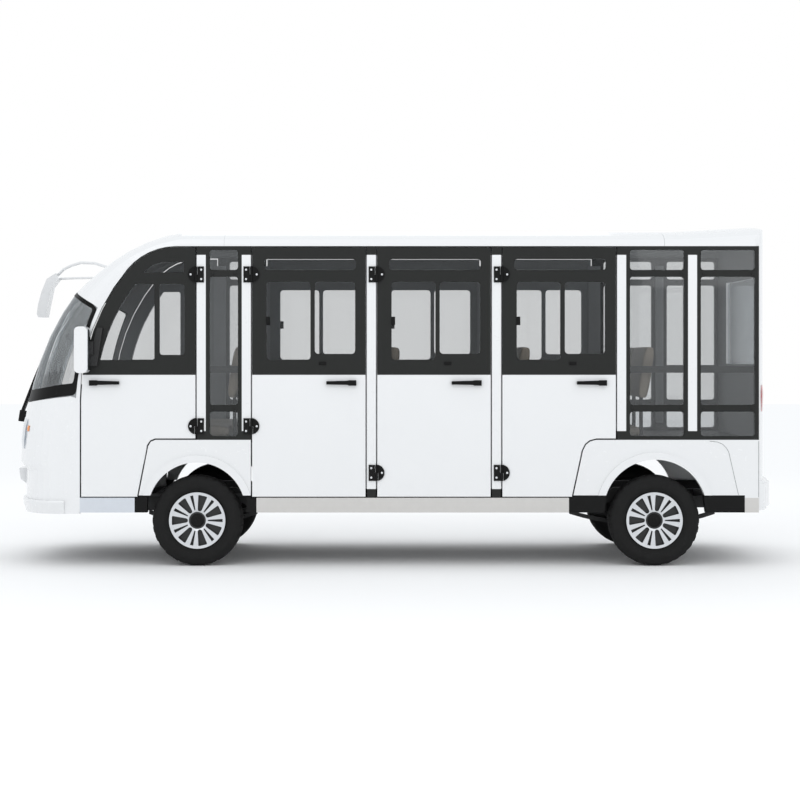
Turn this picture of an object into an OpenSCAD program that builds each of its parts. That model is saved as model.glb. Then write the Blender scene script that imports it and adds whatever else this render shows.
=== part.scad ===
// Enclosed electric sightseeing cart with four doors on each side.
// Front is toward -X, the left side toward -Y, the ground is Z = 0.

/* [Wheels and axles] */
// Distance between front and rear axles
wheelbase = 3117; // [3050:1:3180]
// Place of the front axle along X
front_axle_x = -1288; // [-1300:1:-1276]
// Tyre outer radius, also the height of the axles
tyre_r = 309; // [300:1:315]
// Tyre width
tyre_w = 175; // [165:1:185]
// Distance between the left and right wheel centre planes
track = 1320; // [1310:2:1330]
// Rim barrel radius under the tyre bead
rim_r = 180; // [175:1:185]
// Height of the rim flange above the barrel
flange_h = 12; // [8:1:14]
// Wall of the rim barrel
barrel_t = 14; // [10:1:18]
// Radius of the wheel hub
hub_r = 52; // [46:1:56]
// Count of spoke pockets in each rim
pockets = 7; // [5:1:7]
// Stub shaft radius
stub_r = 20; // [16:1:24]
// Radial clearance of every pin and shaft
fit_c = 0.08; // [0.05:0.01:0.1]

/* [Steering] */
// Distance from each kingpin to the middle plane
kingpin_y = 540; // [535:1:545]
// Kingpin radius
kingpin_r = 14; // [10:1:16]
// Steering arm length from kingpin to tie rod pin
arm_l = 150; // [140:1:158]
// Tie rod radius
tie_r = 10; // [8:1:12]
// Steering wheel rim radius
steer_r = 190; // [170:1:200]
// Lean of the steering column from upright
steer_tilt = 35; // [30:1:40]

/* [Body] */
// Body half width
half_w = 760; // [750:1:770]
// Thickness of doors
door_t = 45; // [40:1:50]
// Thickness of pillars and fixed frames
pillar_t = 50; // [45:1:54]
// Width of each pillar
pillar_w = 61; // [55:1:65]
// Gap round a door
gap = 10; // [8:1:12]
// Height of the door bottoms
door_z0 = 474; // [473:1:480]
// Height of the door tops
door_z1 = 2168; // [2160:1:2170]
// Underside of the roof edge
roof_z0 = 2178; // [2177:1:2182]
// Roof crown height
roof_z1 = 2305; // [2298:1:2312]
// Drop of the roof from crown to edge
roof_d = 112; // [105:1:114]
// Roof wall
roof_t = 30; // [24:1:36]
// Sill bottom
sill_z0 = 366; // [360:1:372]
// Sill top
sill_z1 = 466; // [462:1:467]
// Depth of the sills behind the body side
sill_d = 60; // [50:1:66]
// Top of the fenders and seat boxes
fender_z1 = 860; // [854:1:864]
// Bottom edge of the fenders
fender_z0 = 483; // [480:1:488]
// Fender thickness
fender_t = 40; // [34:1:42]
// Width of the raised lip round the wheel arches
lip_w = 50; // [40:1:56]
// How far that lip stands out
lip_h = 12; // [8:1:14]

/* [Doors] */
// Width of the front door
front_door_w = 776; // [770:1:780]
// Width of the three side doors
door_w = 770; // [764:1:774]
// Width of the fixed bay behind the front door
front_bay = 245; // [240:1:250]
// Width of each fixed bay at the rear
rear_bay = 421; // [415:1:425]
// Upper arch radius of the front door
arch_r1 = 420; // [410:1:430]
// Angle where the upper arch meets the lower one
arch_split = 50; // [48:1:52]
// Distance from front door rear edge to the start of its arch
arch_run = 132; // [126:1:140]
// Window glass thickness
glass_t = 6; // [5:1:8]
// Depth of the glass behind the outer face
glass_in = 10; // [8:1:14]
// Hinge plate height
hinge_h = 109; // [100:1:116]
// Hinge plate reach from the axis
hinge_w = 54; // [48:1:56]
// Hinge plate thickness
hinge_t = 8; // [6:1:8]
// Hinge barrel radius
barrel_r = 9; // [9:0.5:11]
// Hinge pin radius
hinge_pin_r = 5; // [4:0.5:6]

/* [Front and rear caps] */
// Radius of the roof front curve
nose_r1 = 980; // [970:1:990]
// Angle where that curve meets the windscreen curve
nose_split = 56; // [54:1:58]
// Radius of the windscreen curve
nose_r2 = 2200; // [2180:5:2220]
// Wall of the front and rear caps
cap_t = 26; // [24:1:30]
// Bottom of the front cap
nose_z0 = 357; // [350:1:362]
// Sweep back of the nose from middle to side
nose_d = 400; // [390:1:410]
// Radius of the rear roof corner
tail_r = 140; // [130:1:150]
// Sweep of the rear wall from middle to side
tail_d = 110; // [100:1:114]
// Width of the rear corner column
tail_w = 45; // [42:1:50]

/* [Seats] */
// Rear top edges of the seat backs along X
seat_x = [-960, 106, 1006, 1860];
// Seat back lean
seat_lean = 9; // [7:1:11]
// Width of each seat
seat_w = 620; // [600:1:640]
// Seat cushion height
cushion_h = 100; // [90:1:110]
// Seat cushion depth
cushion_d = 400; // [380:1:402]
// Underside of the seat backs
back_z0 = 1138; // [1130:1:1146]
// Height of the seat backs
back_h = 350; // [330:1:360]
// Seat back thickness
back_t = 90; // [80:1:96]
// Seat tube radius
tube_r = 13; // [10:1:15]

/* [Hidden] */
$fn = 48;
rear_axle_x = front_axle_x + wheelbase;
axle_z = tyre_r;
wheel_y = track / 2;
fd_x1 = front_axle_x - gap;
fd_x0 = fd_x1 - front_door_w;
pitch = door_w + 2 * gap + pillar_w;
pillar_a = front_axle_x;
pillar_b = pillar_a + pillar_w + front_bay;
door_1 = pillar_b + pillar_w + gap;
pillar_c = door_1 + door_w + gap;
pillar_d = pillar_c + pitch;
pillar_e = pillar_d + pitch;
pillar_f = pillar_e + pillar_w + rear_bay;
tail_x0 = pillar_f + pillar_w + rear_bay;
tail_x1 = tail_x0 + tail_w;
arch_x = fd_x1 - arch_run;
arch_r2 = (arch_x - arch_r1 * sin(arch_split) - fd_x0) / (1 - sin(arch_split));
arch_zv = door_z1 - arch_r1 * (1 - cos(arch_split)) - arch_r2 * cos(arch_split);
deck_t = 20;
floor_z0 = sill_z1 - deck_t;
rail_y = 300;
rail_w = 60;
well_r = 390;
pillar_cap_h = 60;
cut = 3000;

// Shared shapes

// Extrudes a side outline drawn in X and Z between two Y places
module slab(y0, y1) {
    translate([0, y1, 0])
        rotate([90, 0, 0])
            linear_extrude(y1 - y0)
                children();
}

// Places left-side geometry on the side named by s, -1 for left
module on_side(s) {
    if (s < 0)
        children();
    else
        mirror([0, 1, 0])
            children();
}

module both() {
    children();
    mirror([0, 1, 0])
        children();
}

// Axis-aligned block from two corners
module block(a, b) {
    translate(a)
        cube(b - a);
}

function arc(c, r, a0, a1, n) = [for (i = [0:n]) let (a = a0 + (a1 - a0) * i / n) c + r * [cos(a), sin(a)]];

// Rounded rectangle outline
function pane(x0, z0, x1, z1, r) = concat(
    arc([x1 - r, z1 - r], r, 0, 90, 3), arc([x0 + r, z1 - r], r, 90, 180, 3),
    arc([x0 + r, z0 + r], r, 180, 270, 3), arc([x1 - r, z0 + r], r, 270, 360, 3));

// Front door arch, grown outward by o
function door_arch(o) = concat(
    [for (i = [0:6]) let (f = arch_split * i / 6)
        [arch_x - (arch_r1 + o) * sin(f), door_z1 - arch_r1 + (arch_r1 + o) * cos(f)]],
    [for (i = [1:6]) let (f = arch_split + (90 - arch_split) * i / 6)
        [fd_x0 + arch_r2 - (arch_r2 + o) * sin(f), arch_zv + (arch_r2 + o) * cos(f)]]);

// Front edge of the front fender, grown outward by o
function front_edge(o) = [
    [front_axle_x - 395 - o, fender_z0], [front_axle_x - 330 - o, fender_z1 - 42 + o / 2],
    [front_axle_x - 312 - o * 0.7, fender_z1 - 12 + o * 0.7], [front_axle_x - 280 - o / 2, fender_z1 + o]];

// Front half of the rear fender, grown outward by o
function rear_edge(o) = [
    [rear_axle_x - 555 - o, fender_z0], [rear_axle_x - 490 - o, fender_z1 - 74],
    [rear_axle_x - 470 - o * 0.8, fender_z1 - 34 + o * 0.6], [rear_axle_x - 440 - o * 0.5, fender_z1 - 10 + o * 0.8],
    [rear_axle_x - 400, fender_z1 + o]];

// Cap surfaces: a side profile of a straight, two arcs and a straight, with a rounded section

hump = 28;
// Columns: direction along X, arc start X, crown Z, first radius, split angle, second radius, depths
front_cap = [-1, -1400, roof_z1, nose_r1, nose_split, nose_r2, [roof_d, 240, nose_d]];
rear_cap_v = [1, tail_x1 + 40 - tail_r, roof_z1 + hump, tail_r, 45, tail_r, [tail_d, tail_d, tail_d]];
section_p = 2.6;

function drop(s) = 1 - pow(1 - pow(min(abs(s), 1), section_p), 1 / section_p);
function mix(a, b, t) = a + (b - a) * max(0, min(1, t));
function depth(c, u) = u < c[4] ? mix(c[6][0], c[6][1], u / c[4]) : mix(c[6][1], c[6][2], (u - c[4]) / 22);
function turn(u) = max(0, min(90, u));
function arc_x(c, f) = f < c[4] ? c[3] * sin(f) : c[3] * sin(c[4]) + c[5] * (sin(f) - sin(c[4]));
function arc_z(c, f) = f < c[4] ? c[3] * (cos(f) - 1) : c[3] * (cos(c[4]) - 1) + c[5] * (cos(f) - cos(c[4]));

// Front cap, how far it is pressed in over the door arches and set back at its foot
press_d = 50;
press_u = 38;
press_end = 66;
foot_back = 42;
function press(c, u) =
    c[0] > 0 || u < 0 ? 0
    : u < press_u ? press_d * sin(90 * u / press_u)
    : u < press_end ? press_d * (1 + cos(180 * (u - press_u) / (press_end - press_u))) / 2
    : foot_back * max(0, min(1, (u - 88.6) / 1.4));

// Point of a cap: u runs along the profile, s across it, in is the distance inward from the skin
function cap_pt(c, u, s, in) =
    let (f = turn(u), d = depth(c, u), flat = min(u, 0) * 10, fall = max(u - 90, 0) * 10,
        w = half_w - in,
        inward = in + (d - in) * drop(s) + press(c, u) * (1 - drop(s)) + max(abs(s) - 1, 0) * 260,
        y = abs(s) > 1 ? sign(s) * w : w * s)
    [c[1] + c[0] * (arc_x(c, f) + flat - inward * sin(f)), y, c[2] + arc_z(c, f) - fall - inward * cos(f)];

// How far the windscreen's edges rise along the profile toward its sides
function glass_lift(u, s) = (2 + 2.3 * (u - 57) / 21) * drop(s);

// Closed slab of a cap between two inward distances, given per profile station
module cap_slab(c, us, ss, outs, ins, lift = 0) {
    n = len(us);
    m = len(ss);
    top = [for (i = [0:n - 1]) for (s = ss) cap_pt(c, us[i] - lift * glass_lift(us[i], s), s, outs[i])];
    low = [for (i = [0:n - 1]) for (s = ss)
        cap_pt(c, us[i] - lift * glass_lift(us[i], s), s, is_list(ins) ? ins[i] : ins)];
    k = n * m;
    skin = [for (i = [0:n - 2]) for (j = [0:m - 2]) let (a = i * m + j) each [[a, a + 1, a + m + 1], [a, a + m + 1, a + m]]];
    back = [for (f = skin) [f[0] + k, f[2] + k, f[1] + k]];
    ends = [for (j = [0:m - 2]) each [[j + 1, j, j + k], [j + 1, j + k, j + 1 + k]]];
    ends2 = [for (j = [0:m - 2]) let (a = (n - 1) * m + j) each [[a, a + 1, a + 1 + k], [a, a + 1 + k, a + k]]];
    sides = [for (i = [0:n - 2]) let (a = i * m) each [[a, a + m, a + m + k], [a, a + m + k, a + k]]];
    sides2 = [for (i = [0:n - 2]) let (a = i * m + m - 1) each [[a + m, a, a + k], [a + m, a + k, a + m + k]]];
    faces = concat(skin, back, ends, ends2, sides, sides2);
    polyhedron(concat(top, low), c[0] > 0 ? faces : [for (f = faces) [f[2], f[1], f[0]]]);
}

function same(us, v) = [for (u = us) v];
half_s = [0, 0.2, 0.4, 0.55, 0.68, 0.78, 0.86, 0.92, 0.96, 0.985, 1];
cap_s = concat([-2, -1.5], [for (i = [10:-1:1]) -half_s[i]], half_s, [1.5, 2]);
nose_flat_z = roof_z1 + arc_z(front_cap, 90);
tail_flat_z = roof_z1 + hump + arc_z(rear_cap_v, 90);
nose_u = [-29.7, 0, 8, 16, 24, 32, 40, 48, 56, 61, 66, 70, 74, 78, 82, 86, 88.6, 90, 90 + (nose_flat_z - nose_z0) / 10];
// Windscreen stations, with one border station on each side for the rebate
glass_u = [54, 55.5, 60, 65, 70, 74, 76.5, 78];
glass_half = [0, 0.2, 0.4, 0.55, 0.68, 0.78, 0.86, 0.92, 0.96, 0.985, 1, 1.08, 1.15];
glass_s = concat([for (i = [12:-1:1]) -glass_half[i]], glass_half);
rear_glass_u = [109, 111, 140, 172, 174];
rear_glass_s = [-0.82, -0.8, -0.68, -0.55, -0.4, -0.2, 0, 0.2, 0.4, 0.55, 0.68, 0.8, 0.82];
lamp_u = [80.5, 82, 84.5, 86];
lamp_s = [0.4, 0.52, 0.64, 0.74];
tail_lamp_u = [186, 192, 204];
tail_lamp_s = [0.86, 0.92, 0.96];
// Windscreen seat, a little larger than the glass
seat_c = 0.3;
seat_u = concat([glass_u[0] - 0.02], inner(glass_u), [glass_u[7] + 0.02]);
seat_s = concat([glass_s[0] - 0.002], inner(glass_s), [glass_s[24] + 0.002]);
function inner(list) = [for (i = [1:len(list) - 2]) list[i]];

// Running gear

module chassis_frame() {
    color([0.12, 0.12, 0.13])
        difference() {
            union() {
                both()
                    slab(-rail_y - rail_w, -rail_y)
                        polygon(rail_side());
                for (x = [-2400, -2000, -830, -100, 700, 1250, 2300])
                    block([x - 30, -rail_y, sill_z0], [x + 30, rail_y, floor_z0]);
                both()
                    for (x = [-2000, -830, -100, 700, 1250])
                        block([x - 25, -half_w + sill_d, sill_z0 + 20], [x + 25, -rail_y - rail_w, floor_z0]);
                block([-2440, -60, sill_z0], [-2400, 60, sill_z0 + 16]);
                both()
                    for (x = [front_axle_x - 380, front_axle_x + 380, rear_axle_x - 540, rear_axle_x + 480])
                        block([x - 35, -rail_y - rail_w, sill_z0 - 20], [x + 35, -rail_y, sill_z0]);
            }
            translate([-2420, 0, sill_z0 - 1])
                cylinder(h = 18, r = tow_r);
        }
}
// Tow pin hole radius
tow_r = 12;

// Side outline of a chassis rail, raised over both axles
function rail_side() =
    let (z0 = sill_z0, z1 = floor_z0, up = 60, f = front_axle_x, r = rear_axle_x)
    [[-2440, z0], [f - 330, z0], [f - 230, z0 + up], [f + 230, z0 + up], [f + 330, z0],
        [r - 330, z0], [r - 230, z0 + up], [r + 230, z0 + up], [r + 330, z0], [2470, z0],
        [2470, z1], [r + 330, z1], [r + 230, z1 + up], [r - 230, z1 + up], [r - 330, z1],
        [f + 330, z1], [f + 230, z1 + up], [f - 230, z1 + up], [f - 330, z1], [-2440, z1]];

// Brake drums inside the wheels: radius, width and inner face
drum_r = 125;
drum_w = 42;
drum_y = 598;
boss_r = 34;
boss_h = 60;
lug_h = 24;

module front_axle() {
    color([0.14, 0.14, 0.15])
        union() {
            block([front_axle_x - 32, -kingpin_y + 10, axle_z - 30], [front_axle_x + 32, kingpin_y - 10, axle_z + 30]);
            both()
                translate([front_axle_x, -kingpin_y, axle_z]) {
                    cylinder(h = boss_h, r = boss_r, center = true);
                    cylinder(h = boss_h + 2 * lug_h, r = kingpin_r, center = true);
                }
        }
}

module rear_axle() {
    color([0.14, 0.14, 0.15])
        translate([rear_axle_x, 0, axle_z])
            rotate([90, 0, 0])
                union() {
                    cylinder(h = 2 * (wheel_y - 75), r = 40, center = true);
                    cylinder(h = 2 * (wheel_y + 30), r = stub_r, center = true);
                    cylinder(h = 190, r = 115, center = true);
                    for (z = [-drum_y - drum_w, drum_y])
                        translate([0, 0, z])
                            cylinder(h = drum_w, r = drum_r);
                    translate([-70, 60, 95])
                        cylinder(h = 180, r = 85);
                }
}

// Leaf springs under the axles, columns: axle X, front reach, rear reach
springs = [[front_axle_x, 380, 380], [rear_axle_x, 540, 480]];
spring_t = 26;

module leaf_springs() {
    color([0.1, 0.1, 0.1])
        for (g = springs)
            both()
                slab(-rail_y - rail_w + 4, -rail_y - 4)
                    polygon(spring_side(g[0], g[1], g[2], g[0] == front_axle_x ? axle_z - 30 : axle_z - 40));
}

// Curved spring outline that rises to both hangers from top height z at the axle
function spring_side(x, a, b, z) =
    let (rise = sill_z0 - 20 - z, ts = [-1, -0.83, -0.67, -0.5, -0.33, -0.1, 0.1, 0.33, 0.5, 0.67, 0.83, 1])
    concat([for (t = ts) spring_pt(x, t < 0 ? a : b, z, rise, t)],
        [for (i = [11:-1:0]) spring_pt(x, ts[i] < 0 ? a : b, z - spring_t, rise, ts[i])]);
// Point of a spring, flat under the axle
function spring_pt(x, l, z, rise, t) = [x + l * t, z + rise * pow(max(0, (abs(t) - 0.1) / 0.9), 2)];

module knuckle(s) {
    color([0.2, 0.2, 0.21])
        on_side(s)
            difference() {
                union() {
                    for (z = [axle_z - boss_h / 2 - lug_h, axle_z + boss_h / 2 + 0.5])
                        translate([front_axle_x, -kingpin_y, z])
                            cylinder(h = lug_h - 0.5, r = 28);
                    for (z = [axle_z - boss_h / 2 - lug_h, axle_z + boss_h / 2 + 0.5])
                        block([front_axle_x - 24, -kingpin_y - 60, z], [front_axle_x + 24, -kingpin_y, z + lug_h - 0.5]);
                    block([front_axle_x - 40, -kingpin_y - 60, axle_z - boss_h / 2 - lug_h],
                        [front_axle_x + 40, -kingpin_y - 44, axle_z + boss_h / 2 + lug_h]);
                    translate([front_axle_x, -kingpin_y - 50, axle_z])
                        rotate([90, 0, 0])
                            cylinder(h = wheel_y + 30 - kingpin_y - 50, r = stub_r);
                    translate([front_axle_x, -drum_y, axle_z])
                        rotate([90, 0, 0])
                            cylinder(h = drum_w, r = drum_r);
                    block([front_axle_x, -kingpin_y - 16, arm_z], [front_axle_x + arm_l, -kingpin_y + 16, arm_z + 18]);
                    translate([front_axle_x + arm_l, -kingpin_y, arm_z])
                        cylinder(h = 18, r = 16);
                    translate([front_axle_x + arm_l, -kingpin_y, arm_z - 24])
                        cylinder(h = 30, r = tie_pin_r);
                }
                translate([front_axle_x, -kingpin_y, axle_z])
                    cylinder(h = 300, r = kingpin_r + fit_c, center = true);
            }
}
arm_z = axle_z - boss_h / 2 - lug_h;
tie_pin_r = 8;

module tie_rod() {
    color([0.25, 0.25, 0.26])
        difference() {
            union() {
                both()
                    translate([front_axle_x + arm_l, -kingpin_y, arm_z - 22])
                        cylinder(h = 21, r = 17);
                translate([front_axle_x + arm_l, 0, arm_z - 11.5])
                    rotate([90, 0, 0])
                        cylinder(h = 2 * kingpin_y - 20, r = tie_r, center = true);
            }
            both()
                translate([front_axle_x + arm_l, -kingpin_y, arm_z - 30])
                    cylinder(h = 40, r = tie_pin_r + fit_c);
        }
}

// Tyre section: radius and distance from the wheel's middle plane
function tyre_section() =
    let (w = tyre_w / 2, b = bead_w / 2 - 1, r0 = rim_r + bead_c, r1 = rim_r + flange_h + 4)
    [[r0, -b], [r1, -b], [tyre_r - 60, -w], [tyre_r, -w + 22],
        [tyre_r, w - 22], [tyre_r - 60, w], [r1, b], [r0, b]];
// Clearance between tyre bead and rim
bead_c = 0.3;
bead_w = 130;

module tyre(x, s) {
    color([0.1, 0.1, 0.1])
        translate([x, s * wheel_y, axle_z])
            rotate([90, 0, 0])
                rotate_extrude()
                    polygon(tyre_section());
}

module rim(x, s) {
    color([0.75, 0.76, 0.78])
        translate([x, s * wheel_y, axle_z])
            rotate([s < 0 ? 90 : -90, 0, 0])
                difference() {
                    union() {
                        rotate_extrude()
                            polygon([[rim_r - barrel_t, -72], [rim_r + flange_h, -75], [rim_r + flange_h, -bead_w / 2 - 3],
                                [rim_r, -bead_w / 2], [rim_r, bead_w / 2], [rim_r + flange_h, bead_w / 2 + 3],
                                [rim_r + flange_h, 75], [rim_r - barrel_t, 72]]);
                        rotate_extrude()
                            polygon([[0, 34], [rim_r - 5, 34], [rim_r - 5, 71], [hub_r + 20, 66], [hub_r, 60], [0, 60]]);
                        translate([0, 0, -10])
                            cylinder(h = 50, r = hub_r);
                    }
                    for (i = [0:pockets - 1])
                        rotate([0, 0, 180 + i * 360 / pockets])
                            translate([0, 0, pocket_z])
                                linear_extrude(70)
                                    polygon(pocket());
                    for (i = [0:pockets - 1])
                        rotate([0, 0, i * 360 / pockets])
                            translate([0, 0, pocket_z])
                                linear_extrude(70)
                                    polygon([[hub_r + 20, -4], [rim_r - 7, -11], [rim_r - 7, 11], [hub_r + 20, 4]]);
                    translate([0, 0, -20])
                        cylinder(h = 62, r = stub_r + fit_c);
                }
}
// Floor of the spoke pockets from the wheel's middle plane
pocket_z = 46;

// U-shaped spoke pocket, round end toward the hub
function pocket() =
    let (r1 = rim_r - 7, r0 = hub_r + 27, w0 = 15, w1 = 31)
    concat(arc([r0, 0], w0, 90, 270, 6), [[r1 - 4, -w1], [r1, -w1 + 8], [r1, w1 - 8], [r1 - 4, w1]]);

// Cabin floor and seats

module floor_pan() {
    color([0.3, 0.3, 0.31])
        difference() {
            union() {
                block([fd_x0, -half_w + sill_d, floor_z0], [rear_axle_x - 570, half_w - sill_d, sill_z1]);
                block([-2400, -560, floor_z0], [fd_x0, 560, sill_z1]);
            }
            both()
                block([front_axle_x - well_r, -cut, floor_z0 - 5], [front_axle_x + well_r, -well_y, sill_z1 + 5]);
            block([front_axle_x - 340, -rail_y - 70, floor_z0 - 5], [front_axle_x + 340, rail_y + 70, sill_z1 + 5]);
        }
}
well_y = 380;

module seat_boxes() {
    color([0.34, 0.34, 0.34]) {
        difference() {
            block([front_axle_x - well_r - 20, -half_w + fender_t, sill_z1], [front_axle_x + well_r + 20, half_w - fender_t, fender_z1]);
            block([front_axle_x - well_r, -cut, 0], [front_axle_x + well_r, cut, fender_z1 - deck_t]);
            both()
                block([-cut, -cut, 0], [front_axle_x - 280, -half_w + door_t + 8, cut]);
            both()
                block([pillar_b, -cut, 0], [cut, -half_w + pillar_t + 8, cut]);
            low_edge();
        }
        for (x = [seat_x[1], seat_x[2]])
            difference() {
                block([x - 500, -640, sill_z1], [x - 20, 640, fender_z1]);
                block([x - 482, -622, 0], [x - 38, 622, fender_z1 - 18]);
            }
        difference() {
            block([rear_axle_x - 570, -half_w + fender_t, sill_z1], [tail_x0, half_w - fender_t, fender_z1]);
            block([rear_axle_x - 550, -cut, 0], [cut, cut, fender_z1 - deck_t]);
            both()
                block([-cut, -cut, 0], [rear_axle_x - 400, -half_w + door_t + 8, cut]);
            low_edge();
        }
    }
}

// Clears the lower edges of the seat boxes from the sills and arch corners
module low_edge() {
    both()
        block([-cut, -cut, 0], [cut, -half_w + sill_d + 5, fender_z0 + 5]);
}

module battery_pack() {
    color([0.2, 0.22, 0.25])
        for (x = [seat_x[1], seat_x[2]])
            block([x - 460, -560, sill_z1], [x - 60, 560, sill_z1 + 300]);
}

module seat_cushions() {
    color([0.45, 0.41, 0.36])
        for (x = seat_x)
            for (s = [-1, 1])
                block([x - 120 - cushion_d, s * 335 - seat_w / 2, fender_z1], [x - 120, s * 335 + seat_w / 2, fender_z1 + cushion_h]);
}

// Frame of a seat back: origin at its lower rear edge, leaning with the back
module at_back(x, s) {
    translate([x - (back_h + 4) * tan(seat_lean), s * 335, back_z0])
        rotate([0, seat_lean, 0])
            children();
}

module seat_backs() {
    color([0.45, 0.41, 0.36])
        for (x = seat_x)
            for (s = [-1, 1])
                at_back(x, s)
                    block([-back_t, -seat_w / 2, 0], [0, seat_w / 2, back_h]);
}

// Distance of the seat tubes ahead of the seat back rear edge
tube_in = 92;

module seat_frames() {
    color([0.15, 0.15, 0.15])
        for (x = seat_x)
            for (s = [-1, 1])
                difference() {
                    for (y = [-180, 180])
                        translate([x - tube_in, s * 335 + y, fender_z1])
                            cylinder(h = back_z0 - fender_z1 + 60, r = tube_r);
                    at_back(x, s)
                        block([-2 * back_t, -seat_w / 2, 0], [back_t, seat_w / 2, back_h]);
                }
}

// Front and rear

module door_cut(o) {
    slab(-cut, cut)
        polygon(concat([[cut, door_z1 + o], [arch_x, door_z1 + o]], door_arch(o), [[fd_x0 - o, -500], [cut, -500]]));
}

module cowl_skin() {
    cap_slab(front_cap, nose_u, cap_s, same(nose_u, 0), cap_t);
}

module front_cowl() {
    color([0.93, 0.935, 0.94])
        difference() {
            cowl_skin();
            door_cut(gap);
            cap_slab(front_cap, seat_u, seat_s, same(glass_u, -40), glass_t + 4 + seat_c, 1);
            cap_slab(front_cap, inner(glass_u), inner(glass_s), same(inner(glass_u), -40), cap_t + 30, 1);
            both()
                cap_slab(front_cap, lamp_u, lamp_s, same(lamp_u, -40), 4);
        }
}

module windscreen() {
    color([0.55, 0.6, 0.62, 0.4])
        cap_slab(front_cap, glass_u, glass_s, same(glass_u, 4), glass_t + 4, 1);
}

module nose_trim() {
    color([0.9, 0.905, 0.91]) {
        cap_slab(front_cap, nose_trim_u, [-0.4, -0.2, 0, 0.2, 0.4], [-2, -57, -46, -8], 0);
        cap_slab(front_cap, lip_u, [for (s = cap_s) if (abs(s) <= 1) s], [-20, -24, -6], 0);
    }
}
nose_trim_u = [for (z = [nose_flat_z, 640, 564, 535]) 90 + (nose_flat_z - z) / 10];
lip_u = [for (z = [448, 434, nose_z0]) 90 + (nose_flat_z - z) / 10];

module headlamps() {
    color([0.85, 0.87, 0.9])
        both()
            cap_slab(front_cap, lamp_u, lamp_s, [-1, -9, -9, -1], 4);
}

// Wiper stations along the profile and the arm's height over the skin there
wiper_u = [66, 70, 74, 78, 81];
wiper_h = [-30, -38, -50, -70, -92];
wiper_s = [-0.03, 0.03];

module wiper() {
    color([0.08, 0.08, 0.08])
        union() {
            difference() {
                cap_slab(front_cap, [60, 62, 66, 70, 73], wiper_s, same(wiper_u, -20), 14);
                cap_slab(front_cap, glass_u, glass_s, same(glass_u, 4), 40, 1);
            }
            difference() {
                cap_slab(front_cap, [80, 80.5, 82], wiper_s, [-92, -92, -92], 10);
                cap_slab(front_cap, [78, 82, 86], cap_s, [0, 0, 0], 40);
            }
            cap_slab(front_cap, wiper_u, wiper_s, wiper_h, [for (h = wiper_h) h + 20]);
        }
}

module dashboard() {
    color([0.22, 0.22, 0.23])
        difference() {
            union() {
                slab(-600, 600)
                    polygon([[-2130, 760], [-2110, 1000], [-2160, 1060], [-2300, 1075], [-2390, 1030], [-2390, 760]]);
                block([-2390, -520, sill_z1], [-2340, 520, 800]);
                at_wheel()
                    translate([0, 0, -360])
                        cylinder(h = 320, r = 26);
                at_wheel()
                    translate([0, 0, -100])
                        cylinder(h = 110, r = 11);
            }
        }
}

wheel_x = -1965;
wheel_zc = 1225;
driver_y = -335;

// Frame of the steering wheel, its axis along the column toward the driver
module at_wheel() {
    translate([wheel_x, driver_y, wheel_zc])
        rotate([0, steer_tilt, 0])
            children();
}

module steering_wheel() {
    color([0.08, 0.08, 0.08])
        at_wheel()
            difference() {
                union() {
                    rotate_extrude()
                        translate([steer_r, 0])
                            circle(r = 14);
                    translate([0, 0, -32])
                        cylinder(h = 46, r = 42);
                    for (a = [0, 130, 230])
                        rotate([0, 0, a])
                            block([20, -16, -10], [steer_r - 2, 16, 4]);
                }
                translate([0, 0, -40])
                    cylinder(h = 51, r = 11 + fit_c);
            }
}

// Roof section: outer curve and inner curve
function roof_curve(in) = [for (s = concat([for (i = [10:-1:1]) -half_s[i]], half_s))
    [(half_w - in) * s, roof_z1 - in - (roof_d - in) * drop(s)]];

module roof() {
    color([0.93, 0.935, 0.94])
        translate([roof_x0, 0, 0])
            rotate([90, 0, 90])
                linear_extrude(roof_x1 - roof_x0)
                    polygon(concat([[-half_w, roof_z0]], roof_curve(0), [[half_w, roof_z0], [half_w - roof_t, roof_z0]],
                        [for (i = [20:-1:0]) roof_curve(roof_t)[i]], [[roof_t - half_w, roof_z0]]));
}
roof_x0 = -1103;
roof_x1 = rear_cap_v[1] - 500;

tail_x2 = rear_cap_v[1] + tail_r;
hump_tilt = atan(hump / (rear_cap_v[1] - roof_x1));
all_s = concat([for (i = [10:-1:1]) -half_s[i]], half_s);

// Plan curve of the rear wall, with an added bulge in the middle
function tail_curve(in, bulge) = [for (s = all_s)
    [tail_x2 - in - (tail_d - in) * drop(s) + bulge * (1 - pow(abs(s), 4)), (half_w - in) * s]];

// Solid inside the rear cap's skin, in millimetres inward from it
module tail_solid(in) {
    intersection() {
        translate([roof_x1, 0, roof_z1])
            rotate([0, -hump_tilt, 0])
                translate([-200, 0, -roof_z1])
                    rotate([90, 0, 90])
                        linear_extrude(1200)
                            polygon(concat([[in - half_w, 0]], roof_curve(in), [[half_w - in, 0]]));
        linear_extrude(3 * cut, center = true)
            polygon(concat(tail_curve(in, 0), [[0, half_w - in], [0, in - half_w]]));
        slab(-cut, cut)
            polygon(concat([[0, sill_z1 - 10], [tail_x2 - in, sill_z1 - 10]],
                arc([rear_cap_v[1], rear_cap_v[2] - tail_r], tail_r - in, 0, 90, 8),
                [[0, rear_cap_v[2] - in]]));
    }
}

module rear_cap() {
    color([0.93, 0.935, 0.94])
        difference() {
            tail_solid(0);
            tail_solid(cap_t);
            block([-cut, -cut, -cut], [tail_x0, cut, roof_z0]);
            block([-cut, -cut, -cut], [roof_x1, cut, cut]);
            block([0, -cut, -cut], [cut, cut, sill_z1]);
            cap_slab(rear_cap_v, rear_glass_u, rear_glass_s, same(rear_glass_u, -40), glass_t + 4);
            cap_slab(rear_cap_v, inner(rear_glass_u), inner(rear_glass_s), same(inner(rear_glass_u), -40), cap_t + 30);
            both()
                cap_slab(rear_cap_v, tail_lamp_u, tail_lamp_s, same(tail_lamp_u, -40), 4);
        }
}

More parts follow.
